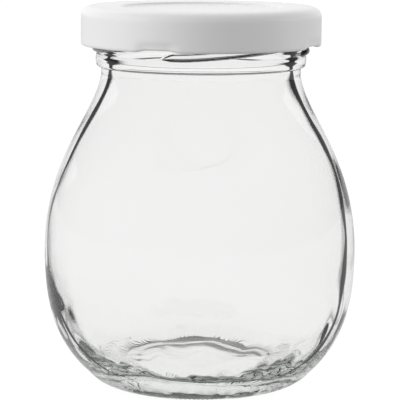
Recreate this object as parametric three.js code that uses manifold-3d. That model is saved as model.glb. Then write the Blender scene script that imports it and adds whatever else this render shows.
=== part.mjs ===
import * as THREE from "three";
import { mergeVertices } from "three/addons/utils/BufferGeometryUtils.js";
import Module from "manifold-3d";

// Millimetres. The jar stands on z = 0 round the Z axis, and the side seen in the photo faces -Y.
// An angle round the jar is in degrees from that front, growing towards +X, the viewer's right.

// Outside of the glass
const BEARING_INNER_RADIUS = 23.8;
const BEARING_RADIUS = 25.1;
const HEEL_RADIUS = 9.8;
const HEEL_ANGLE = 41;
const BELLY_RADIUS = 45.2;
const BELLY_HEIGHT = 38.5;
const HEEL_REACH = 14.6;
const BELLY_REACH_DOWN = 15.5;
const BELLY_REACH_UP = 27;
const NECK_RADIUS = 28.8;
const NECK_HEIGHT = 89.75;
const NECK_FLARE = 1.8;
const NECK_REACH = 11.7;
const FINISH_RADIUS = 30.15;
const FINISH_BULGE = 0.2;
const FINISH_BULGE_HEIGHT = 94.6;
const FINISH_BULGE_TAPER = 1.4;
const FINISH_BOTTOM = 92.3;
const FINISH_CORNER = 0.75;
const RIM_HEIGHT = 108.1;
const RIM_OUTER_ROUND = 1.2;
const RIM_INNER_ROUND = 0.9;

// Hollow under the base
const PUSH_UP = 2.4;
const PUSH_UP_FLAT_RADIUS = 9;
const PUSH_UP_FLAT_DROP = 0.15;
const PUSH_UP_REACH = 6;
const PUSH_UP_RING_REACH = 2.5;
const PUSH_UP_RING_RISE = 1;

// Inside of the glass
const FLOOR_HEIGHT = 4.8;
const FLOOR_CROWN = 0.5;
const FLOOR_RADIUS = 20;
const CAVITY_RADIUS = 43.5;
const CAVITY_BELLY_HEIGHT = 39.5;
const FLOOR_REACH = 16;
const CAVITY_REACH_DOWN = 21;
const CAVITY_REACH_UP = 26.5;
const BORE_RADIUS = 26.4;
const BORE_HEIGHT = 89.5;
const BORE_FLARE = 1.9;
const BORE_REACH = 11.5;

// Thread ridges on the finish, four alike
const RIDGE_COUNT = 4;
const RIDGE_START = -20.7;
const RIDGE_END = 50;
const RIDGE_OUT = 1.15;
const RIDGE_TALL = 2.15;
const RIDGE_LOWEST = 95.8;
const RIDGE_RISE_PER_DEGREE = 0.0445;
const RIDGE_BEND_AT = -6;
const RIDGE_BEND_SOFTNESS = 6;
const RIDGE_TIP_LENGTH = 7;
const RIDGE_TIP_LIFT = 0.55;
const RIDGE_ROOT_DEPTH = 0.9;
const RIDGE_STEPS = 8;

// Lid
const LID_RADIUS = 34.6;
const LID_TOP = 109.55;
const LID_EDGE = 98.36;
const SHEET = 0.4;
const SHOULDER_RADIUS = 2.8;
const PANEL_DEPTH = 0.8;
const PANEL_SLOPE_TOP_RADIUS = 24.2;
const PANEL_SLOPE_FOOT_RADIUS = 21.9;
const PANEL_SLOPE_STEEP_FROM = 0.38;
const PANEL_SLOPE_STEEP_TO = 0.62;
const PANEL_SLOPE_ROUND = 0.13;
const SEAL_INNER_RADIUS = 25.4;
const SEAL_OUTER_RADIUS = 30.6;
const SEAL_GAP = 0.3;
const SEAL_BEVEL = 0.3;
const CURL_WIDTH = 2.1;
const CURL_HEIGHT = 1.9;
const CURL_BEVEL = 0.35;
const LUG_COUNT = 4;
const LUG_CENTRE = -21;
const LUG_HALF_ANGLE = 12;
const LUG_FLAT_HALF_ANGLE = 5;
const LUG_DENT = 0.6;
const LUG_REACH = 1.4;
const LUG_RISE_SHARE = 0.6;
const LUG_DENT_TOP = 102;

// Roundness of the facets
const GLASS_SIDES = 60;
const LUG_STEPS = 8;
const SKIRT_STEPS_BETWEEN_LUGS = 8;

const radians = (degrees) => (degrees * Math.PI) / 180;
const mix = (a, b, share) => a + (b - a) * share;
const clampShare = (value) => Math.min(1, Math.max(0, value));
const smooth = (value) => {
  const share = clampShare(value);
  return share * share * (3 - 2 * share);
};

// A point at a radius and height, turned round the jar by an angle.
function around(radius, height, angle) {
  const turn = radians(angle);
  return [radius * Math.sin(turn), -radius * Math.cos(turn), height];
}

// Points along a cubic curve through four control points, without its first point.
function curve(start, handleA, handleB, end, steps) {
  const bezier = new THREE.CubicBezierCurve(
    new THREE.Vector2(...start),
    new THREE.Vector2(...handleA),
    new THREE.Vector2(...handleB),
    new THREE.Vector2(...end),
  );
  return bezier.getPoints(steps).slice(1).map((p) => [p.x, p.y]);
}

// Points along an arc about a centre, angles in degrees from the outward direction, both ends kept.
function arc(centre, size, from, to, steps) {
  const points = [];
  for (let i = 0; i <= steps; i++) {
    const turn = radians(mix(from, to, i / steps));
    points.push([centre[0] + size * Math.cos(turn), centre[1] + size * Math.sin(turn)]);
  }
  return points;
}

// Outer line of the glass from the bearing ring up to the rim.
function glassOutside() {
  const heel = arc([BEARING_RADIUS, HEEL_RADIUS], HEEL_RADIUS, -90, HEEL_ANGLE - 90, 4);
  const heelEnd = heel[heel.length - 1];
  const slope = radians(HEEL_ANGLE);
  const heelHandle = [
    heelEnd[0] + HEEL_REACH * Math.cos(slope),
    heelEnd[1] + HEEL_REACH * Math.sin(slope),
  ];
  const belly = [BELLY_RADIUS, BELLY_HEIGHT];
  const lower = curve(heelEnd, heelHandle, [BELLY_RADIUS, BELLY_HEIGHT - BELLY_REACH_DOWN], belly, 8);
  const neck = [NECK_RADIUS, NECK_HEIGHT];
  const neckHandle = [NECK_RADIUS + NECK_FLARE, NECK_HEIGHT - NECK_REACH];
  const upper = curve(belly, [BELLY_RADIUS, BELLY_HEIGHT + BELLY_REACH_UP], neckHandle, neck, 11);
  const cornerCentre = [FINISH_RADIUS - FINISH_CORNER, FINISH_BOTTOM + FINISH_CORNER];
  const corner = arc(cornerCentre, FINISH_CORNER, -80, 0, 3);
  const bulge = [FINISH_RADIUS + FINISH_BULGE, FINISH_BULGE_HEIGHT];
  const wall = [FINISH_RADIUS, FINISH_BULGE_HEIGHT + FINISH_BULGE_TAPER];
  const rimCentre = [FINISH_RADIUS - RIM_OUTER_ROUND, RIM_HEIGHT - RIM_OUTER_ROUND];
  const rim = arc(rimCentre, RIM_OUTER_ROUND, 0, 90, 3);
  return [...heel, ...lower, ...upper, [NECK_RADIUS, FINISH_BOTTOM - 0.2], ...corner, bulge, wall, ...rim];
}

// Inner line of the glass from the rim down to the middle of the floor.
function glassInside() {
  const rimCentre = [BORE_RADIUS + RIM_INNER_ROUND, RIM_HEIGHT - RIM_INNER_ROUND];
  const rim = arc(rimCentre, RIM_INNER_ROUND, 90, 180, 2);
  const bore = [BORE_RADIUS, BORE_HEIGHT];
  const belly = [CAVITY_RADIUS, CAVITY_BELLY_HEIGHT];
  const boreHandle = [BORE_RADIUS + BORE_FLARE, BORE_HEIGHT - BORE_REACH];
  const upper = curve(bore, boreHandle, [CAVITY_RADIUS, CAVITY_BELLY_HEIGHT + CAVITY_REACH_UP], belly, 10);
  const floor = [FLOOR_RADIUS, FLOOR_HEIGHT];
  const lowHandle = [CAVITY_RADIUS, CAVITY_BELLY_HEIGHT - CAVITY_REACH_DOWN];
  const lower = curve(belly, lowHandle, [FLOOR_RADIUS + FLOOR_REACH, FLOOR_HEIGHT], floor, 9);
  return [...rim, bore, ...upper, ...lower, [0, FLOOR_HEIGHT + FLOOR_CROWN]];
}

// Hollow under the base, from the middle out to the bearing ring.
function pushUp() {
  const middle = [0, PUSH_UP];
  const flatEnd = [PUSH_UP_FLAT_RADIUS, PUSH_UP - PUSH_UP_FLAT_DROP];
  const handleIn = [PUSH_UP_FLAT_RADIUS + PUSH_UP_REACH, PUSH_UP - 2 * PUSH_UP_FLAT_DROP];
  const handleOut = [BEARING_INNER_RADIUS - PUSH_UP_RING_REACH, PUSH_UP_RING_RISE];
  const ring = [BEARING_INNER_RADIUS, 0];
  return [middle, ...curve(flatEnd, handleIn, handleOut, ring, 3)];
}

// A closed round body from rows of points, one row for each angle, each row a loop in radius and height.
function bodyFromRows(rows, closedRound) {
  const perRow = rows[0].length;
  const positions = rows.flat(2);
  const index = [];
  const steps = closedRound ? rows.length : rows.length - 1;
  for (let i = 0; i < steps; i++) {
    const here = i * perRow;
    const next = ((i + 1) % rows.length) * perRow;
    for (let j = 0; j < perRow; j++) {
      const k = (j + 1) % perRow;
      index.push(here + j, next + j, next + k);
      index.push(here + j, next + k, here + k);
    }
  }
  if (!closedRound) {
    const last = (rows.length - 1) * perRow;
    for (let j = 1; j < perRow - 1; j++) {
      index.push(0, j, j + 1);
      index.push(last, last + j + 1, last + j);
    }
  }
  const geometry = new THREE.BufferGeometry();
  geometry.setAttribute("position", new THREE.Float32BufferAttribute(positions, 3));
  geometry.setIndex(index);
  return geometry;
}

// Bottom height of a thread ridge: level at its start, then a steady rise.
function ridgeBottom(angle) {
  const past = angle - RIDGE_BEND_AT;
  const rise = (past + Math.hypot(past, RIDGE_BEND_SOFTNESS)) / 2;
  return RIDGE_LOWEST + RIDGE_RISE_PER_DEGREE * rise;
}

// Section of a ridge at one angle, drawn as a loop from its root in the wall over the crest and back.
function ridgeSection(angle, turned) {
  const fromStart = clampShare((angle - RIDGE_START) / RIDGE_TIP_LENGTH);
  const fromEnd = clampShare((RIDGE_END - angle) / RIDGE_TIP_LENGTH);
  const fullness = Math.sin((Math.min(fromStart, fromEnd) * Math.PI) / 2);
  const size = mix(0.12, 1, fullness);
  const tall = RIDGE_TALL * size;
  const bottom = ridgeBottom(angle) + RIDGE_TIP_LIFT * (1 - size);
  const loop = [
    [-RIDGE_ROOT_DEPTH, 0],
    [0, 0],
    [0.55, 0.12],
    [0.88, 0.3],
    [1, 0.5],
    [0.9, 0.72],
    [0.55, 0.9],
    [0, 1],
    [-RIDGE_ROOT_DEPTH, 1],
  ];
  return loop.map(([out, up]) => {
    const reach = out > 0 ? out * RIDGE_OUT * size : out;
    return around(FINISH_RADIUS + reach, bottom + tall * up, angle + turned);
  });
}

// One thread ridge, turned round the jar to its place.
function ridge(turned) {
  const stops = [0, 0.35, 0.7, 1].map((share) => RIDGE_START + share * RIDGE_TIP_LENGTH);
  const plainEnd = RIDGE_END - RIDGE_TIP_LENGTH;
  for (let i = 1; i < RIDGE_STEPS; i++) stops.push(mix(stops[3], plainEnd, i / RIDGE_STEPS));
  stops.push(plainEnd, RIDGE_END - 0.6 * RIDGE_TIP_LENGTH, RIDGE_END - 0.25 * RIDGE_TIP_LENGTH, RIDGE_END);
  return bodyFromRows(stops.map((angle) => ridgeSection(angle, turned)), false);
}

// How much of a lug's push there is at an angle round the lid: one at a lug's middle, nought between lugs.
function lugShare(angle) {
  const pitch = 360 / LUG_COUNT;
  const off = Math.abs(((((angle - LUG_CENTRE) % pitch) + 1.5 * pitch) % pitch) - pitch / 2);
  return smooth((LUG_HALF_ANGLE - off) / (LUG_HALF_ANGLE - LUG_FLAT_HALF_ANGLE));
}

// The lid's section at rest, as a loop of radius, height and how far a lug moves the point inwards.
// A lug also lifts each point, by a share of that move.
function lidLoop() {
  const flatTo = LID_RADIUS - SHOULDER_RADIUS;
  const shoulderCentre = [flatTo, LID_TOP - SHOULDER_RADIUS];
  const inside = LID_RADIUS - SHEET;
  const underTop = LID_TOP - SHEET;
  const sealFace = RIM_HEIGHT + SEAL_GAP;
  const panel = LID_TOP - PANEL_DEPTH;
  const steepFrom = mix(PANEL_SLOPE_FOOT_RADIUS, PANEL_SLOPE_TOP_RADIUS, PANEL_SLOPE_STEEP_FROM);
  const steepTo = mix(PANEL_SLOPE_FOOT_RADIUS, PANEL_SLOPE_TOP_RADIUS, PANEL_SLOPE_STEEP_TO);
  const curlMiddle = LID_RADIUS - CURL_WIDTH / 2;
  const curlInner = LID_RADIUS - CURL_WIDTH;
  const curlMid = LID_EDGE + CURL_HEIGHT / 2;
  const curlTop = LID_EDGE + CURL_HEIGHT;
  const still = (points) => points.map(([r, z]) => [r, z, 0]);
  const top = [
    [0, panel],
    [PANEL_SLOPE_FOOT_RADIUS, panel],
    [steepFrom, panel + PANEL_SLOPE_ROUND * PANEL_DEPTH],
    [steepTo, LID_TOP - PANEL_SLOPE_ROUND * PANEL_DEPTH],
    [PANEL_SLOPE_TOP_RADIUS, LID_TOP],
  ];
  const shoulder = arc(shoulderCentre, SHOULDER_RADIUS, 90, 0, 5);
  const skirt = [
    [LID_RADIUS, LUG_DENT_TOP, 0],
    [LID_RADIUS, mix(LUG_DENT_TOP, LID_EDGE, 0.4), 0.35 * LUG_DENT],
    [LID_RADIUS, mix(LUG_DENT_TOP, LID_EDGE, 0.72), 0.85 * LUG_DENT],
  ];
  const curl = [
    [LID_RADIUS - 0.6 * CURL_BEVEL, LID_EDGE + CURL_BEVEL, LUG_DENT],
    [curlMiddle + CURL_BEVEL, LID_EDGE, LUG_DENT],
    [curlMiddle - CURL_BEVEL, LID_EDGE, mix(LUG_DENT, LUG_REACH, 0.5)],
    [curlInner + 0.6 * CURL_BEVEL, LID_EDGE + CURL_BEVEL, LUG_REACH],
    [curlInner, curlMid, LUG_REACH],
    [curlInner + 0.7 * CURL_BEVEL, curlTop - 0.9 * CURL_BEVEL, LUG_REACH],
    [curlMiddle, curlTop, mix(LUG_DENT, LUG_REACH, 0.4)],
    [inside, curlTop + CURL_BEVEL, 0.5 * LUG_DENT],
    [inside, LUG_DENT_TOP, 0],
  ];
  const insideShoulder = arc(shoulderCentre, SHOULDER_RADIUS - SHEET, 0, 90, 4);
  const under = [
    [SEAL_OUTER_RADIUS, underTop],
    [SEAL_OUTER_RADIUS - SEAL_BEVEL, sealFace],
    [SEAL_INNER_RADIUS + SEAL_BEVEL, sealFace],
    [SEAL_INNER_RADIUS, underTop],
    [PANEL_SLOPE_TOP_RADIUS - 0.1, underTop],
    [PANEL_SLOPE_FOOT_RADIUS - 0.1, panel - SHEET],
    [0, panel - SHEET],
  ];
  const loop = [...still(top), ...still(shoulder), ...skirt, ...curl, ...still(insideShoulder), ...still(under)];
  return loop.reverse();
}

// Angles of the lid's rows: closer together across each lug than between two of them.
function lidAngles() {
  const angles = [];
  const pitch = 360 / LUG_COUNT;
  for (let lug = 0; lug < LUG_COUNT; lug++) {
    const start = LUG_CENTRE - LUG_HALF_ANGLE + lug * pitch;
    for (let i = 0; i < LUG_STEPS; i++) angles.push(start + (i * 2 * LUG_HALF_ANGLE) / LUG_STEPS);
    const plainStart = start + 2 * LUG_HALF_ANGLE;
    const plain = pitch - 2 * LUG_HALF_ANGLE;
    for (let i = 0; i < SKIRT_STEPS_BETWEEN_LUGS; i++) {
      angles.push(plainStart + (i * plain) / SKIRT_STEPS_BETWEEN_LUGS);
    }
  }
  return angles;
}

function lidGeometry() {
  const loop = lidLoop();
  const rows = lidAngles().map((angle) => {
    const share = lugShare(angle);
    return loop.map(([radius, height, push]) => {
      const moved = push * share;
      return around(radius - moved, height + LUG_RISE_SHARE * moved, angle);
    });
  });
  return bodyFromRows(rows, true);
}

function glassGeometry() {
  const profile = [...pushUp(), ...glassOutside(), ...glassInside()];
  const points = profile.map(([radius, height]) => new THREE.Vector2(radius, height));
  const lathe = new THREE.LatheGeometry(points, GLASS_SIDES);
  lathe.rotateX(Math.PI / 2);
  return lathe;
}

const wasm = await Module();
wasm.setup();

// A closed geometry as a solid that can be joined to another.
function solid(geometry) {
  const bare = geometry.clone();
  bare.deleteAttribute("normal");
  bare.deleteAttribute("uv");
  const merged = mergeVertices(bare, 1e-4);
  const mesh = new wasm.Mesh({
    numProp: 3,
    vertProperties: new Float32Array(merged.attributes.position.array),
    triVerts: new Uint32Array(merged.index.array),
  });
  return new wasm.Manifold(mesh);
}

function geometryOf(body) {
  const mesh = body.getMesh();
  const geometry = new THREE.BufferGeometry();
  geometry.setAttribute("position", new THREE.BufferAttribute(mesh.vertProperties, 3));
  geometry.setIndex(new THREE.BufferAttribute(mesh.triVerts, 1));
  return geometry;
}

function named(name, geometry, look) {
  geometry.computeVertexNormals();
  const mesh = new THREE.Mesh(geometry, new THREE.MeshStandardMaterial(look));
  mesh.name = name;
  return mesh;
}

let glass = solid(glassGeometry());
for (let i = 0; i < RIDGE_COUNT; i++) {
  glass = glass.add(solid(ridge((i * 360) / RIDGE_COUNT)));
}

const jar = new THREE.Group();
jar.name = "canning_jar";
jar.add(named("glass_jar", geometryOf(glass), { color: 0xe9eeea, roughness: 0.05, metalness: 0 }));
jar.add(named("lug_lid", geometryOf(solid(lidGeometry())), { color: 0xeeeeee, roughness: 0.3, metalness: 0 }));

export default jar;
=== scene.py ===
import math

import bpy
from mathutils import Euler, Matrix, Quaternion, Vector, noise


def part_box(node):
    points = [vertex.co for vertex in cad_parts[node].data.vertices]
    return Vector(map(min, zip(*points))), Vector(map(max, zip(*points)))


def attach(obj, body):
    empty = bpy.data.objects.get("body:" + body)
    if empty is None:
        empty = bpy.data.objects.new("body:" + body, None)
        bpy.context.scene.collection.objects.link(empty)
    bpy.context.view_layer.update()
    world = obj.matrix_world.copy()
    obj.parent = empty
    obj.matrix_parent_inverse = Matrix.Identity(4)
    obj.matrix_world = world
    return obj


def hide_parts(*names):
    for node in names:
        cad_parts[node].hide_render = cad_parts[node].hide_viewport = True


bl_info = {
    "name": "Preserving jar with lug lid",
    "version": (1, 0, 0),
    "blender": (4, 5, 0),
    "location": "3D View > Sidebar > Jar",
    "description": "Builds a round-bellied glass preserving jar, its lug lid and a pale studio",
    "category": "Object",
}

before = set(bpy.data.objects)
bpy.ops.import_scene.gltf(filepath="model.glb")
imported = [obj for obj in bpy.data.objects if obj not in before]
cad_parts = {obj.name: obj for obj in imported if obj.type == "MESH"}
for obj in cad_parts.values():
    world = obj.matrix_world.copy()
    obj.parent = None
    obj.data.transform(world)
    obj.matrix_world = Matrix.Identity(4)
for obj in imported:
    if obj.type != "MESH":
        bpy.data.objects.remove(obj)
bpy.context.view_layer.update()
GLASS_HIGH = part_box("glass_jar")[1]
LID_LOW, LID_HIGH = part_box("lug_lid")

MM = 0.001

# Places and counts that are not settings
AXIS_GAP = 0.6 * MM
FLOOR_RISE = 0.5 * MM
KNURL_TOP = 1.5 * MM
SEAL_INNER = 25.4 * MM
SEAL_OUTER = 30.6 * MM
SEAM_HEIGHT = 90.2 * MM
FLOOR_DROP = 0.05 * MM
FLOOR_SIDES = 96

# Marks on the glass's points: nought inside, above LEAST_LIMIT outside
INSIDE_MARK = 0.0
LEAST_LIMIT = 0.01
NO_CAVITY = 0.02

# Glancing angles, as Facing values, over which painted shade darkens the glass where light leaves the cavity's
# surface
LEAVING_FROM = 0.238
LEAVING_TO = 0.250

# Name of the shared shader node group
NOISE_GROUP = "surface noise"

# Places of the soft lights, their widths and heights, and what they point at
KEY_PLACE, KEY_SIZE = (-1.2, -0.45, 0.45), (0.9, 0.9)
FILL_PLACE, FILL_SIZE = (1.2, 0.0, 0.4), (0.6, 0.8)
TOP_PLACE, TOP_SIZE = (-0.1, 0.8, 1.1), (1.0, 1.0)
LIGHT_AIM = (0.0, 0.0, 0.09)


def length(name, words, default):
    """A size property in metres."""
    return bpy.props.FloatProperty(
        name=name, description=words, default=default, min=0.0, subtype="DISTANCE", unit="LENGTH", precision=5
    )


def degrees(name, words, default):
    """An angle property, given in degrees."""
    return bpy.props.FloatProperty(
        name=name, description=words, default=math.radians(default), subtype="ANGLE", unit="ROTATION"
    )


def factor(name, words, default, high=1.0):
    """A plain share or strength property."""
    return bpy.props.FloatProperty(name=name, description=words, default=default, min=0.0, max=high)


def whole(name, words, default, low):
    """A whole number property with its least value."""
    return bpy.props.IntProperty(name=name, description=words, default=default, min=low)


def power(name, default):
    """A light's power in watts."""
    words = "Power of this light"
    return bpy.props.FloatProperty(name=name, description=words, default=default, min=0.0, unit="POWER")


def colour(name, words, default):
    """A colour property without alpha."""
    return bpy.props.FloatVectorProperty(
        name=name, description=words, default=default, size=3, subtype="COLOR", min=0.0, max=1.0
    )


class JarGlassSizes(bpy.types.PropertyGroup):
    """Sizes of the glass."""

    belly_radius: length("Belly radius", "Widest outer radius of the glass", GLASS_HIGH[0])
    belly_height: length("Belly height", "Height of the widest place", 38.5 * MM)
    rim_height: length("Rim height", "Height of the glass rim", GLASS_HIGH[2])
    bearing_radius: length("Bearing radius", "Outer radius of the ring that the jar stands on", 25.1 * MM)
    bearing_inner: length("Bearing inner radius", "Inner radius of the ring that the jar stands on", 23.8 * MM)
    heel_radius: length("Heel radius", "Radius of the round between base and side", 9.8 * MM)
    heel_angle: degrees("Heel angle", "How far the heel's round turns", 41)
    neck_radius: length("Neck radius", "Outer radius of the neck", 28.8 * MM)
    neck_height: length("Neck height", "Height at which the side becomes the straight neck", 89.75 * MM)
    finish_radius: length("Finish radius", "Outer radius of the wall under the threads", 30.15 * MM)
    finish_bottom: length("Finish bottom", "Height of the finish wall's lower edge", 92.3 * MM)
    cavity_radius: length("Cavity radius", "Widest inner radius", 43.5 * MM)
    cavity_height: length("Cavity belly height", "Height of the cavity's widest place", 39.5 * MM)
    bore_radius: length("Bore radius", "Inner radius of the mouth", 26.4 * MM)
    floor_height: length("Floor height", "Height of the inner floor's edge", 4.8 * MM)
    floor_radius: length("Floor radius", "Radius of the flat part of the inner floor", 20.0 * MM)
    push_up: length("Push-up", "Depth of the hollow under the base", 2.4 * MM)
    off_centre: length("Cavity off centre", "How far the cavity's axis stands off to one side", 0.9 * MM)
    wave_height: length("Inner waves", "Largest swing of the cavity's uneven surface", 0.42 * MM)
    settle_height: length("Settle wave", "Height of the swell round the cavity's floor", 0.95 * MM)
    knurl_count: whole("Knurls", "Notches round the bearing ring", 140, 0)
    knurl_depth: length("Knurl depth", "Depth of the notches in the bearing ring", 0.25 * MM)
    stipple_depth: length("Stipple depth", "Depth of the mould's rough grain round the heel", 0.22 * MM)
    sides: whole("Sides", "Steps round the jar", 480, 24)


class JarThreadSizes(bpy.types.PropertyGroup):
    """Sizes of the thread ridges on the glass."""

    count: whole("Ridges", "Number of thread ridges", 4, 1)
    start: degrees("Start", "Angle of the front ridge's low tip", -20.7)
    end: degrees("End", "Angle of the front ridge's high end", 50)
    out: length("Standing out", "How far a ridge stands out of the wall", 1.15 * MM)
    tall: length("Height", "Height of a ridge's section", 2.15 * MM)
    lowest: length("Lowest", "Height of a ridge's underside at its low end", 95.8 * MM)
    rise: length("Rise for a radian", "How fast a ridge climbs round the jar", 2.55 * MM)
    tip: degrees("Tip length", "Length of the pointed end", 7)


class JarLidSizes(bpy.types.PropertyGroup):
    """Sizes of the lid."""

    radius: length("Radius", "Outer radius of the lid", 34.6 * MM)
    top: length("Top", "Height of the lid's top", LID_HIGH[2])
    edge: length("Edge", "Height of the lid's lower edge", LID_LOW[2])
    sheet: length("Sheet", "Thickness of the sheet", 0.4 * MM)
    shoulder: length("Shoulder", "Radius of the round between top and skirt", 2.8 * MM)
    panel_depth: length("Panel depth", "How deep the centre panel lies", 0.8 * MM)
    panel_radius: length("Panel radius", "Radius at the foot of the panel's step", 21.9 * MM)
    step_radius: length("Step radius", "Radius at the top of the panel's step", 24.2 * MM)
    curl_width: length("Curl width", "Width of the curled lower edge", 2.1 * MM)
    curl_height: length("Curl height", "Height of the curled lower edge", 1.9 * MM)
    lugs: whole("Lugs", "Number of lugs", 4, 1)
    lug_centre: degrees("Lug angle", "Angle of the front lug's middle", -21)
    lug_half: degrees("Lug half width", "Half of the angle that a lug takes", 12)
    lug_dent: length("Lug dent", "How far the skirt is pressed in at a lug", 0.6 * MM)
    lug_reach: length("Lug reach", "How far a lug reaches in past the curl", 1.4 * MM)
    lug_rise: factor("Lug rise", "How far a lug lifts the edge, as a share of its push", 0.6)
    sides: whole("Sides", "Steps round the lid", 288, 24)


class JarColours(bpy.types.PropertyGroup):
    """Colours of the jar and its lid."""

    glass: colour("Glass", "Colour of thin glass", (0.955, 0.955, 0.953))
    # Painted shade: the black of the dark lines painted just inside the glass's outline
    painted_edge_shade: colour("Glass edge", "Colour of the dark lines just inside the outline", (0.0, 0.0, 0.0))
    # How dark the painted shade is in that line
    edge_shade_depth: factor("Edge depth", "How dark the line is where light no longer reaches the cavity", 1.0)
    # Painted shade: the grey painted in spots on the heel's near side, for the dark look of thick glass
    painted_heel_shade: colour("Glass heel", "Colour of the rough-grained glass round the heel", (0.36, 0.37, 0.36))
    glass_depth: colour("Glass depth", "Colour that thick glass takes on", (0.70, 0.72, 0.70))
    glass_density: factor("Glass density", "How fast thick glass takes on its colour, per metre", 34.0, 1000.0)
    enamel: colour("Enamel", "Colour of the lid's enamel", (0.80, 0.80, 0.80))
    seal: colour("Seal", "Colour of the sealing ring inside the lid", (0.62, 0.60, 0.56))


class JarStudio(bpy.types.PropertyGroup):
    """Floor, lights and camera."""

    floor_radius: length("Floor radius", "Radius of the pale floor", 9.0)
    floor_glow: factor("Floor glow", "Even light of the floor as the camera sees it", 1.04, 4.0)
    floor_in_glass: factor("Floor in glass", "Light of the floor as seen through glass", 1.02, 4.0)
    floor_reflected: factor("Floor reflected", "Brightness of the floor in reflections", 0.65, 4.0)
    floor_bounce: factor("Floor bounce", "Light that the floor gives to the object", 0.40, 4.0)
    contact_shade: factor("Contact shade", "How much darker the floor is right beside the jar", 0.05)
    contact_distance: length("Contact distance", "How far from the jar the floor is darker", 5 * MM)
    backdrop: factor("Backdrop", "Brightness of the white surroundings as the camera sees them", 1.04, 4.0)
    backdrop_in_glass: factor("Backdrop in glass", "Brightness of the surroundings through glass", 1.12, 4.0)
    reflected: factor("Reflected", "Brightness of the surroundings in sharp reflections", 0.32, 4.0)
    soft_reflected: factor("Soft reflected", "Brightness of the surroundings in soft reflections", 0.95, 4.0)
    fill: factor("Fill", "Even soft light from all round", 0.36, 4.0)
    key_power: power("Left light", 13.2)
    fill_power: power("Right light", 6.0)
    top_power: power("Top light", 9.0)
    camera_distance: length("Camera distance", "Level distance from the jar's axis to the camera", 0.5793)
    camera_height: length("Camera height", "Height of the camera", 0.1423)
    camera_pitch: degrees("Camera pitch", "How far the camera looks down", 8.75)
    camera_roll: degrees("Camera roll", "How far the camera is turned about its line of sight", 0.4)
    camera_lens: bpy.props.FloatProperty(
        name="Lens", description="Focal length on a 36 mm sensor", default=180.96, min=1.0, unit="CAMERA"
    )


def mix(a, b, share):
    """A value between two others."""
    return a + (b - a) * share


def smooth(value):
    """An even slope from 0 to 1, rounded at both ends."""
    share = min(1.0, max(0.0, value))
    return share * share * (3.0 - 2.0 * share)


def eased(value, start, end):
    """From 0 to 1, smoothly, while a value goes from a start to an end."""
    return smooth((value - start) / (end - start))


def around(radius, height, angle):
    """A point at a radius and height, turned from the front towards +X."""
    return Vector((radius * math.sin(angle), -radius * math.cos(angle), height))


def curve(start, handle_a, handle_b, end, steps):
    """Points of a cubic curve in radius and height, without its first point."""
    points = []
    for i in range(1, steps + 1):
        t = i / steps
        a, b, c, d = (1 - t) ** 3, 3 * t * (1 - t) ** 2, 3 * t * t * (1 - t), t**3
        pairs = zip(start, handle_a, handle_b, end)
        points.append(tuple(a * p + b * q + c * r + d * s for p, q, r, s in pairs))
    return points


def arc(centre, size, from_degrees, to_degrees, steps):
    """Points of an arc in radius and height, both ends kept."""
    points = []
    for i in range(steps + 1):
        turn = math.radians(mix(from_degrees, to_degrees, i / steps))
        points.append((centre[0] + size * math.cos(turn), centre[1] + size * math.sin(turn)))
    return points


def straight(start, end, steps):
    """Points of a straight line in radius and height, without its ends."""
    return [(mix(start[0], end[0], i / steps), mix(start[1], end[1], i / steps)) for i in range(1, steps)]


def round_mesh(name, rows, poles):
    """A closed mesh from rows of points, one row for each angle; poles are the points on the axis."""
    per_row = len(rows[0])
    points = [point for row in rows for point in row]
    first_pole = len(points)
    points.extend(poles)
    faces = []
    for i in range(len(rows)):
        here = i * per_row
        there = ((i + 1) % len(rows)) * per_row
        for j in range(per_row - 1):
            faces.append((here + j, there + j, there + j + 1, here + j + 1))
        faces.append((here, first_pole, there))
        faces.append((there + per_row - 1, first_pole + 1, here + per_row - 1))
    mesh = bpy.data.meshes.new(name)
    mesh.from_pydata(points, [], faces)
    mesh.validate()
    mesh.shade_smooth()
    return mesh


def add_object(name, data):
    """A new object in the scene that holds a mesh, light or camera."""
    obj = bpy.data.objects.new(name, data)
    bpy.context.scene.collection.objects.link(obj)
    return obj


def turns(sides):
    """The angles of even steps round the axis."""
    return [i * 2 * math.pi / sides for i in range(sides)]


def glass_under(s):
    """The hollow under the base, from near its middle to the bearing ring."""
    middle = (AXIS_GAP, s.push_up)
    near = (9 * MM, s.push_up - 0.15 * MM)
    near_handle = (15 * MM, s.push_up - 0.3 * MM)
    ring_handle = (s.bearing_inner - 2.5 * MM, 1 * MM)
    ring = (s.bearing_inner, 0.0)
    return [middle, near] + curve(near, near_handle, ring_handle, ring, 10)


def finish_bulge(s):
    """The slight bulge of the finish wall over its lower corner."""
    steps = 14
    depth = 0.2 * MM
    start = 0.9 * MM
    end = 3.7 * MM
    points = []
    for i in range(1, steps + 1):
        height = s.finish_bottom + mix(start, end, i / steps)
        points.append((s.finish_radius + depth * math.sin(math.pi * i / steps), height))
    return points


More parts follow.
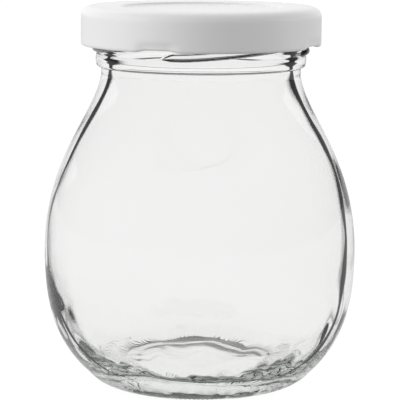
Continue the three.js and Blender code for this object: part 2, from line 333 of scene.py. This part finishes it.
def glass_outside(s):
    """The glass's outer line from the bearing ring to the rim."""
    heel_end = math.degrees(s.heel_angle) - 90
    heel = arc((s.bearing_radius, s.heel_radius), s.heel_radius, -90, heel_end, 18)
    end = heel[-1]
    heel_reach = 14.6 * MM
    heel_handle = (end[0] + heel_reach * math.cos(s.heel_angle), end[1] + heel_reach * math.sin(s.heel_angle))
    belly = (s.belly_radius, s.belly_height)
    below_belly = (s.belly_radius, s.belly_height - 15.5 * MM)
    above_belly = (s.belly_radius, s.belly_height + 27 * MM)
    lower = curve(end, heel_handle, below_belly, belly, 28)
    neck = (s.neck_radius, s.neck_height)
    flare = (s.neck_radius + 1.8 * MM, s.neck_height - 11.7 * MM)
    upper = curve(belly, above_belly, flare, neck, 44)
    fillet_round = 0.5 * MM
    fillet = arc((s.neck_radius + fillet_round, s.finish_bottom - 0.3 * MM), fillet_round, 180, 95, 4)
    corner = 0.75 * MM
    low_corner = arc((s.finish_radius - corner, s.finish_bottom + corner), corner, -80, 0, 6)
    bulge = finish_bulge(s)
    rim_round = 1.2 * MM
    rim = arc((s.finish_radius - rim_round, s.rim_height - rim_round), rim_round, 0, 90, 8)
    ridges_end = (s.finish_radius, 102 * MM)
    wall = straight(bulge[-1], ridges_end, 40) + [ridges_end] + straight(ridges_end, rim[0], 6)
    return heel + lower + upper + fillet + low_corner + bulge + wall + rim


def glass_inside(s):
    """The glass's inner line from the rim to near the middle of the floor."""
    inner_round = 0.9 * MM
    rim = arc((s.bore_radius + inner_round, s.rim_height - inner_round), inner_round, 90, 180, 6)
    bore = (s.bore_radius, 89.5 * MM)
    straight_bore = straight(rim[-1], bore, 10) + [bore]
    below_bore = (s.bore_radius + 1.9 * MM, 78 * MM)
    above_belly = (s.cavity_radius, s.cavity_height + 26.5 * MM)
    belly = (s.cavity_radius, s.cavity_height)
    upper = curve(bore, below_bore, above_belly, belly, 44)
    below_belly = (s.cavity_radius, s.cavity_height - 21 * MM)
    beside_floor = (36 * MM, s.floor_height)
    floor = (s.floor_radius, s.floor_height)
    lower = curve(belly, below_belly, beside_floor, floor, 80)
    on_floor = (12 * MM, s.floor_height)
    near_middle = (6 * MM, s.floor_height + 0.45 * MM)
    middle = (AXIS_GAP, s.floor_height + FLOOR_RISE)
    return rim + straight_bore + upper + lower + curve(floor, on_floor, near_middle, middle, 10)


def ridge_out(t, angle, height):
    """How far the threads stand out of the wall at an angle and height."""
    pitch = 2 * math.pi / t.count
    margin = 0.2
    turned = (angle - t.start + margin) % pitch - margin + t.start
    if not t.start < turned < t.end:
        return 0.0
    bend = math.radians(6)
    past = turned + bend
    bottom = t.lowest + t.rise * (past + math.hypot(past, bend)) / 2
    fullness = math.sin(min(1.0, (turned - t.start) / t.tip, (t.end - turned) / t.tip) * math.pi / 2)
    size = mix(0.12, 1.0, fullness)
    tip_lift = 0.55 * MM * (1 - size)
    up = (height - bottom - tip_lift) / (t.tall * size)
    if not 0.0 < up < 1.0:
        return 0.0
    low_bulge = 0.92
    flat_top = 0.8
    return t.out * size * math.sin(math.pi * up**low_bulge) ** flat_top


def swirl(point, across, up, seed):
    """Seeded noise at a point, from -1 to 1, with its scale across and up in waves for each metre."""
    place = Vector((point.x * across, point.y * across, point.z * up))
    return noise.noise(place + Vector((seed, 7.7 - seed, 1.9)))


def uneven(point, radius, s):
    """The cavity's own unevenness at a point, strongest low down where the glass is thick."""
    low = eased(point.z, 42 * MM, 12 * MM)
    heel = eased(point.z, 16 * MM, 8 * MM) * eased(radius, 15 * MM, 23 * MM)
    broad = swirl(point, 38, 55, 3.1) * mix(0.3, 0.8, low) + swirl(point, 110, 90, 9.1) * mix(0.1, 0.55, low)
    ripple = swirl(point, 240, 160, 1.7) * mix(0.0, 0.16, low)
    grain = swirl(point, 190, 190, 5.3) * 0.5 + swirl(point, 460, 460, 8.2) * 0.22
    return s.wave_height * (broad + ripple + heel * grain)


def settle_wave(radius, angle, s):
    """The low uneven swell round the floor, where the glass settled as it cooled."""
    past_floor = 7.0 * MM
    breadth = 2.3 * MM
    wander = 2.2 * MM * math.cos(2 * angle + 0.6) + 1.2 * MM * math.cos(5 * angle + 2.0)
    off = (radius - s.floor_radius - past_floor - wander) / breadth
    ragged = 1 + 0.8 * swirl(around(radius, 0.0, angle), 130, 130, 3.6) + 0.4 * math.sin(angle) ** 2
    return s.settle_height * ragged * math.exp(-off * off)


def cavity_push(radius, height, angle, s):
    """How far the cavity stands off its even round shape at a place, outwards and towards -X."""
    fade = eased(height, s.rim_height, s.rim_height - 22 * MM) * eased(radius, 0.5 * MM, 9.5 * MM)
    belly = eased(height, 68 * MM, 50 * MM) * eased(height, 20 * MM, 36 * MM)
    swell_top = 16 * MM
    swell = settle_wave(radius, angle, s) if height < swell_top else 0.0
    return uneven(around(radius, height, angle), radius, s) * fade - swell, s.off_centre * belly


def normals_of(line):
    """Unit normals of a line in radius and height, to its left when it runs downwards."""
    normals = []
    for index in range(len(line)):
        before = line[max(0, index - 1)]
        after = line[min(len(line) - 1, index + 1)]
        along = Vector((after[0] - before[0], after[1] - before[1])).normalized()
        normals.append((-along.y, along.x))
    return normals


def under_wander(radius, angle, s):
    """How far the hollow under the base swings in and out near the bearing ring."""
    reach = 0.9 * MM
    place = around(s.bearing_inner, 0.0, angle)
    broad = 0.35 * math.cos(3 * angle + 0.9) + 0.9 * swirl(place, 90, 90, 2.2)
    fine = 0.5 * swirl(place, 260, 260, 6.1)
    return reach * (broad + fine) * eased(radius, 10 * MM, 18 * MM)


def under_lift(radius, height, angle):
    """How far the hollow under the base swings up and down near the bearing ring."""
    share = 0.3 * eased(radius, 17 * MM, 21 * MM)
    return share * height * swirl(around(radius, 0.0, angle), 100, 100, 5.9)


def knurl(radius, height, angle, s):
    """How far the notches in the bearing ring lift its underside at a place."""
    ring_margin = 3 * MM
    if height > KNURL_TOP or radius < s.bearing_inner - ring_margin:
        return 0.0
    tooth = 0.5 - 0.5 * math.cos(angle * s.knurl_count)
    return s.knurl_depth * tooth * eased(height, KNURL_TOP, 0.0)


def radius_at(line, height):
    """The radius of a falling line at a height, or nought below the line."""
    for (r0, z0), (r1, z1) in zip(line, line[1:]):
        if z1 <= height <= z0 and z0 > z1:
            return mix(r1, r0, (height - z1) / (z0 - z1))
    return 0.0


# The material paints a dark line of shade where a sight line passes this limit.
def clear_limit(radius, inner, height, angle, upright, s):
    """The cosine of the glancing angle at which light entering the side no longer reaches the cavity, or a
    value near nought, which hardly any sight line meets, where there is no cavity behind."""
    if inner <= 0.0:
        return NO_CAVITY
    widest_share = 0.992
    out, aside = cavity_push(inner, height, angle, s)
    share = min(widest_share, (inner + out - aside * math.sin(angle)) / radius)
    return max(NO_CAVITY, upright * math.sqrt(1.0 - share * share))


def edge_shade_width(height, angle, s):
    """How broad the painted dark line of shade over the cavity's edge is, as a share of its limit."""
    place = around(s.belly_radius, height, angle)
    right = math.sin(angle)
    plain = 0.075
    shoulder = 0.09 * eased(height, 58 * MM, 84 * MM)
    patch = (height - 34 * MM) / (4.5 * MM)
    low_down = eased(height, 32 * MM, 24 * MM)
    thick = 0.07 * math.exp(-patch * patch) - (0.02 + 0.022 * right) * low_down
    wander = (1 + 0.9 * swirl(place, 45, 70, 4.4)) * (1 + 0.7 * swirl(place, 150, 120, 6.6))
    least_wander = 0.2
    body = (plain + shoulder + thick) * (1 + 0.3 * right) * max(least_wander, wander)
    under_lid = eased(height, 93.5 * MM, 94.7 * MM)
    streaks = 0.05 + 0.2 * under_lid * smooth(0.3 + 2.4 * swirl(place, 45, 1500, 2.8))
    finish = eased(height, s.neck_height, s.neck_height + 3 * MM)
    above_heel = eased(height, 6 * MM, 15 * MM)
    least_width = 0.004
    return least_width + mix(body, streaks, finish) * above_heel


def stipple(height, angle, s):
    """How far the heel's outside stands in or out at a place, as left by the rough lower part of the mould."""
    band = eased(height, 1.2 * MM, 2.7 * MM) * eased(height, 6.5 * MM, 4.0 * MM)
    place = around(s.bearing_radius, height, angle)
    return s.stipple_depth * band * (swirl(place, 520, 520, 0.6) + swirl(place, 230, 300, 4.9))


def outside_place(radius, height, angle, s, t):
    """Where a point of the glass's outer line lies at an angle, and how broad the painted dark line of shade
    is there.
    """
    width = edge_shade_width(height, angle, s)
    lift = knurl(radius, height, angle, s)
    threads_from = s.finish_bottom + 1.2 * MM
    out = 0.0
    if radius <= s.bearing_inner:
        out = under_wander(radius, angle, s)
        lift += under_lift(radius, height, angle)
    if radius > s.bearing_radius:
        out = stipple(height, angle, s)
    if height > threads_from and radius >= s.finish_radius - 0.01 * MM:
        ridge_width = 0.3
        out = ridge_out(t, angle, height)
        width = mix(width, ridge_width, eased(out, 0.0, 0.3 * MM))
    return around(radius + out, height + lift, angle), width


def inside_place(radius, height, normal, angle, s):
    """Where a point of the glass's inner line lies at an angle, and how strong the painted dark shade is
    there.
    """
    out, aside = cavity_push(radius, height, angle, s)
    place = around(radius + out * normal[0], height + out * normal[1], angle)
    place.x -= aside
    return place, mix(0.1, 1.0, eased(height, 6 * MM, 16 * MM))


def glass_mesh(s, t):
    """The whole glass as one closed mesh, with its surfaces marked for where the material paints dark lines of
    shade.
    """
    outside = glass_under(s) + glass_outside(s)
    inside = glass_inside(s)
    inner_radii = [radius_at(inside, height) for radius, height in outside]
    uprights = [abs(normal[0]) for normal in normals_of(outside)]
    inside_normals = normals_of(inside)
    rows = []
    limits = []
    widths = []
    for angle in turns(s.sides):
        row = []
        for (radius, height), inner, upright in zip(outside, inner_radii, uprights):
            place, width = outside_place(radius, height, angle, s, t)
            row.append(place)
            widths.append(width)
            limits.append(clear_limit(radius, inner, height, angle, upright, s))
        for (radius, height), normal in zip(inside, inside_normals):
            place, width = inside_place(radius, height, normal, angle, s)
            row.append(place)
            widths.append(width)
            limits.append(INSIDE_MARK)
        rows.append(row)
    poles = [Vector((0, 0, s.push_up)), Vector((0, 0, s.floor_height + FLOOR_RISE))]
    limits += [NO_CAVITY, INSIDE_MARK]
    widths += [1.0, 1.0]
    mesh = round_mesh("glass", rows, poles)
    for name, values in (("clear_limit", limits), ("edge_shade_width", widths)):
        mark = mesh.attributes.new(name, "FLOAT", "POINT")
        mark.data.foreach_set("value", values)
    return mesh


def lug_share(angle, s):
    """One at a lug's middle, nought between lugs."""
    pitch = 2 * math.pi / s.lugs
    off = abs((angle - s.lug_centre + pitch / 2) % pitch - pitch / 2)
    flat_half = math.radians(5)
    return smooth((s.lug_half - off) / (s.lug_half - flat_half))


def lid_top(s):
    """The lid's top from near its middle, over the panel's step and the groove, to the end of the shoulder."""
    panel = s.top - s.panel_depth
    flat = [(AXIS_GAP, panel), (12 * MM, panel), (20.5 * MM, panel), (s.panel_radius, panel)]
    step_handle = 1.85 * MM
    low_handle = (s.panel_radius + step_handle, panel)
    high_handle = (s.step_radius - step_handle, s.top)
    step_high = (s.step_radius, s.top)
    step = curve(flat[-1], low_handle, high_handle, step_high, 14)
    flat_to = s.radius - s.shoulder
    groove_depth = 0.12 * MM
    groove_start = (flat_to - 1.0 * MM, s.top)
    groove_middle = (flat_to - 0.6 * MM, s.top - groove_depth)
    groove_end = (flat_to - 0.2 * MM, s.top)
    groove = [groove_start, groove_middle, groove_end]
    shoulder = arc((flat_to, s.top - s.shoulder), s.shoulder, 90, 0, 14)
    return flat + step + straight(step_high, groove_start, 6) + groove + shoulder


def lid_curl(s):
    """The curled edge from its outside round to its inside, with each point's push at a lug."""
    steps = 24
    reached_at = 14
    squareness = 0.72
    half = s.curl_width / 2
    tall = s.curl_height / 2
    middle = s.radius - half
    points = []
    for i in range(1, steps):
        turn = -math.pi * 1.5 * i / steps
        x = math.copysign(abs(math.cos(turn)) ** squareness, math.cos(turn))
        y = math.copysign(abs(math.sin(turn)) ** squareness, math.sin(turn))
        push = mix(s.lug_dent, s.lug_reach, smooth(i / reached_at))
        points.append((middle + half * x, s.edge + tall + tall * y, push))
    return points


def lid_underside(s):
    """The lid's inside from the shoulder, over the sealing ring and the panel's step, to near the middle."""
    flat_to = s.radius - s.shoulder
    under = s.top - s.sheet
    seal = GLASS_HIGH[2] + 0.3 * MM
    bevel = 0.1 * MM
    shoulder = arc((flat_to, s.top - s.shoulder), s.shoulder - s.sheet, 0, 90, 10)
    outer_side = [(SEAL_OUTER, under), (SEAL_OUTER - bevel, seal + bevel), (SEAL_OUTER - 3 * bevel, seal)]
    inner_side = [(SEAL_INNER + 4 * bevel, seal), (SEAL_INNER + 2 * bevel, seal + bevel), (SEAL_INNER, under)]
    step_start = (s.step_radius - bevel, under)
    start_handle = (s.step_radius - 1.2 * MM, under)
    foot = (s.panel_radius - bevel, s.top - s.panel_depth - s.sheet)
    foot_handle = (foot[0] + 1.1 * MM, foot[1])
    step = [step_start] + curve(step_start, start_handle, foot_handle, foot, 8)
    return shoulder + outer_side + inner_side + step + [(12 * MM, foot[1]), (AXIS_GAP, foot[1])]


def lid_line(s):
    """The lid's section from near the top's middle, over the skirt and back under, with each point's push
    at a lug."""
    dent_top = s.edge + 3.64 * MM
    curl_top = s.edge + 0.7 * MM
    dent_steps = 11
    inside = s.radius - s.sheet
    over_curl = s.edge + s.curl_height
    top = lid_top(s)
    skirt = straight(top[-1], (s.radius, dent_top), 4) + [(s.radius, dent_top)]
    line = [(r, z, 0.0) for r, z in top + skirt]
    for i in range(1, dent_steps + 1):
        share = i / dent_steps
        line.append((s.radius, mix(dent_top, curl_top, share), s.lug_dent * smooth(share)))
    line += lid_curl(s)
    line.append((inside - 0.15 * MM, over_curl + 0.25 * MM, 0.8 * s.lug_dent))
    line.append((inside, over_curl + 0.6 * MM, 0.5 * s.lug_dent))
    line.append((inside, dent_top, 0.0))
    return line + [(r, z, 0.0) for r, z in lid_underside(s)]


def lid_mesh(s):
    """The lid as one closed mesh, pushed in at its lugs."""
    line = lid_line(s)
    line.reverse()
    rows = []
    for angle in turns(s.sides):
        share = lug_share(angle, s)
        rows.append([around(r - push * share, z + s.lug_rise * push * share, angle) for r, z, push in line])
    panel = s.top - s.panel_depth
    poles = [Vector((0, 0, panel - s.sheet)), Vector((0, 0, panel))]
    return round_mesh("lid", rows, poles)


def new_material(name):
    """A material with an empty node tree."""
    material = bpy.data.materials.new(name)
    material.use_nodes = True
    tree = material.node_tree
    tree.nodes.clear()
    return material, tree


def add_node(tree, kind, **settings):
    """A new node with its settings."""
    node = tree.nodes.new(kind)
    for key, value in settings.items():
        setattr(node, key, value)
    return node


def maths(tree, operation, first, second=None):
    """A Math node; each input is a number or a socket."""
    node = add_node(tree, "ShaderNodeMath", operation=operation)
    for slot, value in enumerate((first, second)):
        if value is None:
            continue
        if isinstance(value, (int, float)):
            node.inputs[slot].default_value = value
        else:
            tree.links.new(value, node.inputs[slot])
    return node.outputs[0]


def product(tree, first, *others):
    """Several numbers or sockets multiplied."""
    for other in others:
        first = maths(tree, "MULTIPLY", first, other)
    return first


def ramp(tree, value, low, high, to_low=0.0, to_high=1.0):
    """A smooth step of a socket from one pair of values to another."""
    node = add_node(tree, "ShaderNodeMapRange", interpolation_type="SMOOTHSTEP")
    tree.links.new(value, node.inputs["Value"])
    node.inputs["From Min"].default_value = low
    node.inputs["From Max"].default_value = high
    node.inputs["To Min"].default_value = to_low
    node.inputs["To Max"].default_value = to_high
    return node.outputs["Result"]


def blend_colours(tree, share, first, second):
    """A colour mix; the colours are tuples or sockets."""
    node = add_node(tree, "ShaderNodeMix", data_type="RGBA")
    tree.links.new(share, node.inputs[0])
    for slot, value in ((6, first), (7, second)):
        if isinstance(value, (tuple, list)):
            node.inputs[slot].default_value = (*value, 1.0)
        else:
            tree.links.new(value, node.inputs[slot])
    return node.outputs[2]


def surface_noise_group():
    """Shader node group: soft random relief and tone over a surface, from its place on the object."""
    group = bpy.data.node_groups.new(NOISE_GROUP, "ShaderNodeTree")
    for name, default in (("Scale", 100.0), ("Detail", 2.0)):
        socket = group.interface.new_socket(name, in_out="INPUT", socket_type="NodeSocketFloat")
        socket.default_value = default
    group.interface.new_socket("Tone", in_out="OUTPUT", socket_type="NodeSocketFloat")
    enter = add_node(group, "NodeGroupInput")
    leave = add_node(group, "NodeGroupOutput")
    place = add_node(group, "ShaderNodeTexCoord")
    texture = add_node(group, "ShaderNodeTexNoise")
    group.links.new(place.outputs["Object"], texture.inputs["Vector"])
    group.links.new(enter.outputs["Scale"], texture.inputs["Scale"])
    group.links.new(enter.outputs["Detail"], texture.inputs["Detail"])
    group.links.new(texture.outputs["Fac"], leave.inputs["Tone"])
    return group


def add_noise(tree, scale, detail):
    """The shared noise in a material, with its size in waves for each metre and its levels of detail."""
    group = bpy.data.node_groups.get(NOISE_GROUP) or surface_noise_group()
    node = add_node(tree, "ShaderNodeGroup", node_tree=group)
    node.inputs["Scale"].default_value = scale
    node.inputs["Detail"].default_value = detail
    return node.outputs["Tone"]


def axis_place(tree):
    """Sockets for the distance from the jar's axis and the height, on the object."""
    place = add_node(tree, "ShaderNodeTexCoord")
    split = add_node(tree, "ShaderNodeSeparateXYZ")
    tree.links.new(place.outputs["Object"], split.inputs[0])
    squares = [maths(tree, "POWER", split.outputs[axis], 2.0) for axis in (0, 1)]
    return maths(tree, "SQRT", maths(tree, "ADD", *squares)), split.outputs[2]


def bumped(tree, relief, strength, depth):
    """A normal bent by a relief of a given depth."""
    bump = add_node(tree, "ShaderNodeBump")
    bump.inputs["Strength"].default_value = strength
    bump.inputs["Distance"].default_value = depth
    tree.links.new(relief, bump.inputs["Height"])
    return bump.outputs["Normal"]


def seam_height(tree, height):
    """The fine mould line round the neck, broken up by noise."""
    half_width = 0.28 * MM
    off = maths(tree, "ABSOLUTE", maths(tree, "SUBTRACT", height, SEAM_HEIGHT))
    line = ramp(tree, off, 0.0, half_width, 1.0, 0.0)
    broken = ramp(tree, add_noise(tree, 160.0, 0.0), 0.42, 0.56)
    return product(tree, line, broken)


def edge_shade_mask(tree, limit, outside, front, edge_shade_depth):
    """Where the glass gets painted shade, from Facing: where light leaves the cavity's surface at a glancing
    angle, and in a line where light entering the side no longer reaches the cavity."""
    band_full = 0.6
    band_end = 1.25
    inward_breadth = 1.6
    width = add_node(tree, "ShaderNodeAttribute", attribute_name="edge_shade_width").outputs["Fac"]
    weight = add_node(tree, "ShaderNodeLayerWeight")
    weight.inputs["Blend"].default_value = 0.5
    facing = weight.outputs["Facing"]
    back = maths(tree, "SUBTRACT", 1.0, front)
    on_cavity = maths(tree, "SUBTRACT", 1.0, outside)
    leaving = product(tree, ramp(tree, facing, LEAVING_FROM, LEAVING_TO), back, width, on_cavity)
    cosine = maths(tree, "SUBTRACT", 1.0, facing)
    share = maths(tree, "DIVIDE", cosine, maths(tree, "MAXIMUM", limit, LEAST_LIMIT))
    past_limit = maths(tree, "SUBTRACT", share, 1.0)
    outward = maths(tree, "DIVIDE", product(tree, past_limit, -1.0), width)
    inward = maths(tree, "DIVIDE", past_limit, product(tree, width, inward_breadth))
    band = ramp(tree, maths(tree, "MAXIMUM", outward, inward), band_full, band_end, 1.0, 0.0)
    entering = product(tree, band, front, outside, edge_shade_depth)
    return maths(tree, "MAXIMUM", leaving, entering)


def heel_shade_mask(tree, radius, height, outside, front):
    """Where painted shade greys the heel's outside, in spots, on faces seen from outside the glass."""
    low = ramp(tree, height, 3 * MM, 5.5 * MM, 1.0, 0.0)
    past_ring = ramp(tree, radius, 24 * MM, 26 * MM)
    above_ring = ramp(tree, height, 0.8 * MM, 1.8 * MM)
    spots = ramp(tree, add_noise(tree, 420.0, 3.0), 0.25, 0.6)
    return product(tree, low, past_ring, above_ring, front, outside, spots)


def glass_material(c):
    """Clear glass that takes on some colour where it is thick, with painted shade in dark lines along its
    outline and in grey spots round the heel.
    """
    material, tree = new_material("clear_glass")
    shader = add_node(tree, "ShaderNodeBsdfPrincipled")
    shader.inputs["Roughness"].default_value = 0.0
    shader.inputs["Metallic"].default_value = 0.0
    shader.inputs["IOR"].default_value = 1.5
    shader.inputs["Transmission Weight"].default_value = 1.0
    geometry = add_node(tree, "ShaderNodeNewGeometry")
    front = maths(tree, "SUBTRACT", 1.0, geometry.outputs["Backfacing"])
    limit = add_node(tree, "ShaderNodeAttribute", attribute_name="clear_limit").outputs["Fac"]
    outside = maths(tree, "GREATER_THAN", limit, LEAST_LIMIT)
    radius, height = axis_place(tree)
    # Painted shade: grey spots on the heel, mixed into the glass colour
    heel_shade = heel_shade_mask(tree, radius, height, outside, front)
    tint_and_heel_shade = blend_colours(tree, heel_shade, tuple(c.glass), tuple(c.painted_heel_shade))
    # Painted shade: dark lines along the outline, from Facing and the marked points
    dark = edge_shade_mask(tree, limit, outside, front, c.edge_shade_depth)
    tree.links.new(blend_colours(tree, dark, tint_and_heel_shade, tuple(c.painted_edge_shade)), shader.inputs["Base Color"])
    ripple = product(tree, add_noise(tree, 70.0, 1.0), 0.25)
    relief = maths(tree, "ADD", seam_height(tree, height), ripple)
    tree.links.new(bumped(tree, relief, 1.0, 0.06 * MM), shader.inputs["Normal"])
    depth = add_node(tree, "ShaderNodeVolumeAbsorption")
    depth.inputs["Color"].default_value = (*c.glass_depth, 1.0)
    depth.inputs["Density"].default_value = c.glass_density
    out = add_node(tree, "ShaderNodeOutputMaterial")
    tree.links.new(shader.outputs[0], out.inputs["Surface"])
    tree.links.new(depth.outputs[0], out.inputs["Volume"])
    return material


def seal_mask(tree):
    """Where the sealing ring lies under the lid's sheet."""
    radius, height = axis_place(tree)
    past_inner = ramp(tree, radius, SEAL_INNER - 0.1 * MM, SEAL_INNER + 0.2 * MM)
    before_outer = ramp(tree, radius, SEAL_OUTER - 0.3 * MM, SEAL_OUTER, 1.0, 0.0)
    below_sheet = ramp(tree, height, 108.9 * MM, 109.1 * MM, 1.0, 0.0)
    return product(tree, past_inner, before_outer, below_sheet)


def enamel_material(c):
    """White enamel with a soft gloss, and the duller sealing ring inside."""
    material, tree = new_material("white_enamel")
    shader = add_node(tree, "ShaderNodeBsdfPrincipled")
    shader.inputs["Metallic"].default_value = 0.0
    shader.inputs["IOR"].default_value = 1.5
    shader.inputs["Coat Weight"].default_value = 0.25
    shader.inputs["Coat Roughness"].default_value = 0.12
    in_seal = seal_mask(tree)
    darker = tuple(value * 0.993 for value in c.enamel)
    patches = ramp(tree, add_noise(tree, 45.0, 3.0), 0.3, 0.7)
    paint = blend_colours(tree, patches, darker, tuple(c.enamel))
    tree.links.new(blend_colours(tree, in_seal, paint, tuple(c.seal)), shader.inputs["Base Color"])
    seal_dullness = 0.3
    gloss = ramp(tree, add_noise(tree, 220.0, 2.0), 0.3, 0.7, 0.295, 0.31)
    roughness = maths(tree, "ADD", gloss, product(tree, in_seal, seal_dullness))
    tree.links.new(roughness, shader.inputs["Roughness"])
    peel = add_noise(tree, 700.0, 1.0)
    tree.links.new(bumped(tree, peel, 0.03, 0.02 * MM), shader.inputs["Normal"])
    out = add_node(tree, "ShaderNodeOutputMaterial")
    tree.links.new(shader.outputs[0], out.inputs["Surface"])
    return material


def seen_strength(tree, straight, through, mirrored, softly, falling):
    """A strength for what is seen straight, for what is seen through glass, dimmer where the glass has
    turned the light many times, for sharp and for soft reflections, and for the light that falls on things."""
    dim_from = 6.0
    dim_to = 11.0
    dim_share = 0.5
    path = add_node(tree, "ShaderNodeLightPath")
    kinds = [path.outputs["Is " + kind + " Ray"] for kind in ("Camera", "Transmission", "Diffuse")]
    dimmed = ramp(tree, path.outputs["Ray Depth"], dim_from, dim_to, through, dim_share * through)
    any_kind = maths(tree, "MAXIMUM", maths(tree, "MAXIMUM", *kinds[:2]), kinds[2])
    reflection = maths(tree, "SUBTRACT", 1.0, any_kind)
    sharp_share = product(tree, path.outputs["Is Singular Ray"], mirrored - softly)
    total = product(tree, reflection, maths(tree, "ADD", sharp_share, softly))
    for kind, share in zip(kinds, (straight, dimmed, falling)):
        total = maths(tree, "ADD", total, product(tree, kind, share))
    return total


def floor_material(s):
    """An even pale floor, a little darker right beside the jar."""
    material, tree = new_material("pale_floor")
    glow = add_node(tree, "ShaderNodeEmission")
    reflected = s.floor_reflected
    strength = seen_strength(tree, s.floor_glow, s.floor_in_glass, reflected, reflected, s.floor_bounce)
    nearness = add_node(tree, "ShaderNodeAmbientOcclusion", samples=8)
    nearness.inputs["Distance"].default_value = s.contact_distance
    contact = ramp(tree, nearness.outputs["AO"], 0.0, 1.0, 1.0 - s.contact_shade, 1.0)
    tree.links.new(product(tree, strength, contact), glow.inputs["Strength"])
    out = add_node(tree, "ShaderNodeOutputMaterial")
    tree.links.new(glow.outputs[0], out.inputs["Surface"])
    return material


def add_floor(s):
    """The round pale floor, a little below the jar."""
    ring = [around(s.floor_radius, -FLOOR_DROP, angle) for angle in turns(FLOOR_SIDES)]
    mesh = bpy.data.meshes.new("floor")
    mesh.from_pydata(ring, [], [tuple(range(FLOOR_SIDES))])
    floor = add_object("floor", mesh)
    floor.data.materials.append(floor_material(s))


def white_surroundings(s):
    """An even white world round the jar."""
    world = bpy.data.worlds.new("white_surroundings")
    world.use_nodes = True
    tree = world.node_tree
    tree.nodes.clear()
    sky = add_node(tree, "ShaderNodeBackground")
    strength = seen_strength(tree, s.backdrop, s.backdrop_in_glass, s.reflected, s.soft_reflected, s.fill)
    tree.links.new(strength, sky.inputs["Strength"])
    sky.inputs["Color"].default_value = (1.0, 1.0, 1.0, 1.0)
    out = add_node(tree, "ShaderNodeOutputWorld")
    tree.links.new(sky.outputs[0], out.inputs["Surface"])
    bpy.context.scene.world = world


def soft_light(name, place, size, watts):
    """A rectangular soft light on the jar that the camera, the glass and reflections don't show."""
    data = bpy.data.lights.new(name, "AREA")
    data.shape = "RECTANGLE"
    data.size, data.size_y = size
    data.energy = watts
    light = add_object(name, data)
    light.location = place
    light.rotation_mode = "QUATERNION"
    light.rotation_quaternion = (Vector(LIGHT_AIM) - Vector(place)).to_track_quat("-Z", "Y")
    light.visible_camera = False
    light.visible_transmission = False
    light.visible_glossy = False


def add_camera(s):
    """The camera in front of the jar, looking a little down on it."""
    data = bpy.data.cameras.new("camera")
    data.sensor_width = 36.0
    data.lens = s.camera_lens
    data.clip_start = 0.01
    data.clip_end = 50.0
    camera = add_object("camera", data)
    camera.location = (0.0, -s.camera_distance, s.camera_height)
    camera.rotation_mode = "QUATERNION"
    level = Euler((math.pi / 2 - s.camera_pitch, 0.0, 0.0)).to_quaternion()
    camera.rotation_quaternion = level @ Quaternion((0.0, 0.0, 1.0), s.camera_roll)
    bpy.context.scene.camera = camera


class JAR_OT_glass(bpy.types.Operator):
    """Build the glass with its threads and its uneven cavity"""

    bl_idname = "jar.build_glass"
    bl_label = "Glass"

    def execute(self, context):
        scene = context.scene
        glass = add_object("glass", glass_mesh(scene.jar_glass, scene.jar_threads))
        glass.data.materials.append(glass_material(scene.jar_colours))
        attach(glass, "root")
        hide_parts("glass_jar")
        return {"FINISHED"}


class JAR_OT_lid(bpy.types.Operator):
    """Build the metal lid with its lugs"""

    bl_idname = "jar.build_lid"
    bl_label = "Lid"

    def execute(self, context):
        scene = context.scene
        lid = add_object("lid", lid_mesh(scene.jar_lid))
        lid.data.materials.append(enamel_material(scene.jar_colours))
        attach(lid, "root")
        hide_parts("lug_lid")
        return {"FINISHED"}


class JAR_OT_studio(bpy.types.Operator):
    """Build the pale floor, the soft lights, the white surroundings and the camera"""

    bl_idname = "jar.build_studio"
    bl_label = "Studio"

    def execute(self, context):
        scene = context.scene
        studio = scene.jar_studio
        add_camera(studio)
        white_surroundings(studio)
        add_floor(studio)
        soft_light("key_left", KEY_PLACE, KEY_SIZE, studio.key_power)
        soft_light("fill_right", FILL_PLACE, FILL_SIZE, studio.fill_power)
        soft_light("top", TOP_PLACE, TOP_SIZE, studio.top_power)
        scene.view_settings.view_transform = "Standard"
        scene.cycles.max_bounces = 32
        scene.cycles.transmission_bounces = 32
        scene.cycles.glossy_bounces = 16
        scene.cycles.diffuse_bounces = 4
        return {"FINISHED"}


class JAR_PT_panel(bpy.types.Panel):
    """Sizes, colours and buttons of the jar"""

    bl_idname = "JAR_PT_panel"
    bl_label = "Preserving jar"
    bl_space_type = "VIEW_3D"
    bl_region_type = "UI"
    bl_category = "Jar"

    def draw(self, context):
        layout = self.layout
        for operator in BUILDERS:
            layout.operator(operator.bl_idname)
        for name in GROUPS:
            settings = getattr(context.scene, name)
            box = layout.box()
            box.label(text=GROUPS[name].__doc__)
            for key in GROUPS[name].__annotations__:
                box.prop(settings, key)


GROUPS = {
    "jar_glass": JarGlassSizes,
    "jar_threads": JarThreadSizes,
    "jar_lid": JarLidSizes,
    "jar_colours": JarColours,
    "jar_studio": JarStudio,
}
BUILDERS = (JAR_OT_studio, JAR_OT_glass, JAR_OT_lid)


def register():
    """Adds the settings, operators and panel."""
    for name, group in GROUPS.items():
        bpy.utils.register_class(group)
        setattr(bpy.types.Scene, name, bpy.props.PointerProperty(type=group))
    for cls in (*BUILDERS, JAR_PT_panel):
        bpy.utils.register_class(cls)


def unregister():
    """Takes the panel, operators and settings away again."""
    for cls in (JAR_PT_panel, *reversed(BUILDERS)):
        bpy.utils.unregister_class(cls)
    for name, group in GROUPS.items():
        delattr(bpy.types.Scene, name)
        bpy.utils.unregister_class(group)


def main():
    """Builds the studio, the glass and the lid, and keeps their boxes."""
    register()
    bpy.ops.jar.build_studio()
    bpy.ops.jar.build_glass()
    bpy.ops.jar.build_lid()


if __name__ == "__main__":
    main()
